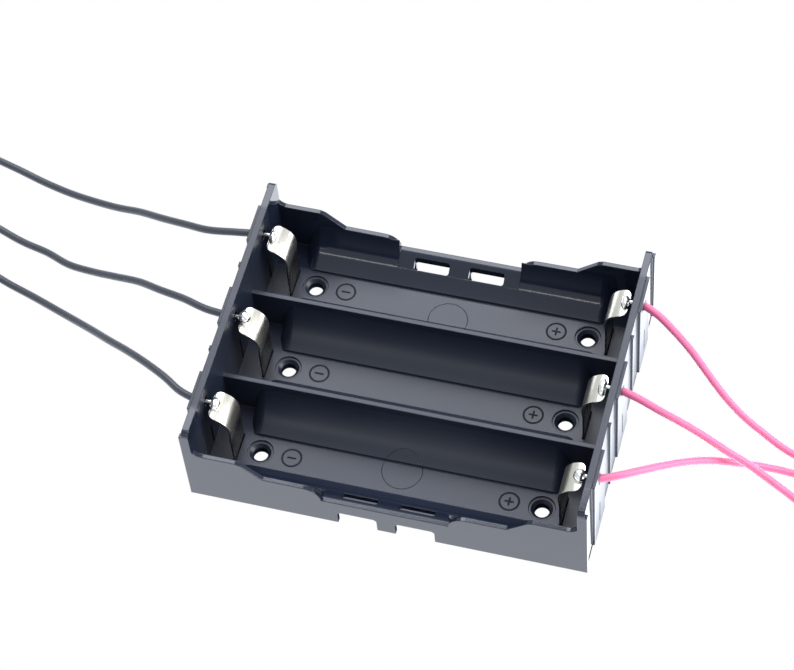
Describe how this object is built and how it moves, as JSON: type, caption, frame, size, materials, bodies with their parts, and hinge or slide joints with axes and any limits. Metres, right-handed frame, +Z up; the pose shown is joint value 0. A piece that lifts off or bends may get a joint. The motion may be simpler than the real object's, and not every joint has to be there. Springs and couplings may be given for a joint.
{
  "type": "cylindrical cell holder",
  "caption": "Open moulded tray for cylindrical cells side by side, with a sprung leaf contact at each end of every bay and a wire lead soldered to each contact.",
  "frame": {"origin": "middle of the tray's underside, on the surface it rests on", "axes": "+X along the cells towards the positive leads, +Y across the bays, +Z up out of the open tray"},
  "size_m": [0.2405, 0.0884, 0.0214],
  "materials": {
    "black_plastic": "satin black moulding",
    "nickel": "bright nickel plate",
    "solder": "bright solder",
    "conductor": "tinned copper strands",
    "black_insulation": "satin black insulation",
    "red_insulation": "satin red insulation"
  },
  "bodies": {
    "holder": {"tray": "black_plastic", "lead_neg_back": "black_insulation", "lead_neg_middle": "black_insulation", "lead_neg_front": "black_insulation", "lead_pos_back": "red_insulation", "lead_pos_middle": "red_insulation", "lead_pos_front": "red_insulation", "coil_neg_back": "black_insulation", "coil_neg_middle": "black_insulation", "coil_neg_front": "black_insulation", "coil_pos_back": "red_insulation", "coil_pos_middle": "red_insulation", "coil_pos_front": "red_insulation", "tip_neg_back": "conductor", "tip_neg_middle": "conductor", "tip_neg_front": "conductor", "tip_pos_back": "conductor", "tip_pos_middle": "conductor", "tip_pos_front": "conductor"},
    "spring_neg_back": {"contact_neg_back": "nickel", "solder_neg_back": "solder", "core_neg_back": "conductor"},
    "spring_neg_middle": {"contact_neg_middle": "nickel", "solder_neg_middle": "solder", "core_neg_middle": "conductor"},
    "spring_neg_front": {"contact_neg_front": "nickel", "solder_neg_front": "solder", "core_neg_front": "conductor"},
    "spring_pos_back": {"contact_pos_back": "nickel", "solder_pos_back": "solder", "core_pos_back": "conductor"},
    "spring_pos_middle": {"contact_pos_middle": "nickel", "solder_pos_middle": "solder", "core_pos_middle": "conductor"},
    "spring_pos_front": {"contact_pos_front": "nickel", "solder_pos_front": "solder", "core_pos_front": "conductor"}
  },
  "joints": [
    {"name": "flex_neg_back", "type": "hinge", "parent": "holder", "child": "spring_neg_back", "pos_m": [-0.0318, 0.0195, 0.0018], "axis": [0, -1, 0], "range_deg": [0, 4], "stiffness_Nm_per_rad": 0.3},
    {"name": "flex_neg_middle", "type": "hinge", "parent": "holder", "child": "spring_neg_middle", "pos_m": [-0.0318, 0, 0.0018], "axis": [0, -1, 0], "range_deg": [0, 4], "stiffness_Nm_per_rad": 0.3},
    {"name": "flex_neg_front", "type": "hinge", "parent": "holder", "child": "spring_neg_front", "pos_m": [-0.0318, -0.0195, 0.0018], "axis": [0, -1, 0], "range_deg": [0, 4], "stiffness_Nm_per_rad": 0.3},
    {"name": "flex_pos_back", "type": "hinge", "parent": "holder", "child": "spring_pos_back", "pos_m": [0.0318, 0.0195, 0.0018], "axis": [0, 1, 0], "range_deg": [0, 4], "stiffness_Nm_per_rad": 0.3},
    {"name": "flex_pos_middle", "type": "hinge", "parent": "holder", "child": "spring_pos_middle", "pos_m": [0.0318, 0, 0.0018], "axis": [0, 1, 0], "range_deg": [0, 4], "stiffness_Nm_per_rad": 0.3},
    {"name": "flex_pos_front", "type": "hinge", "parent": "holder", "child": "spring_pos_front", "pos_m": [0.0318, -0.0195, 0.0018], "axis": [0, 1, 0], "range_deg": [0, 4], "stiffness_Nm_per_rad": 0.3}
  ]
}
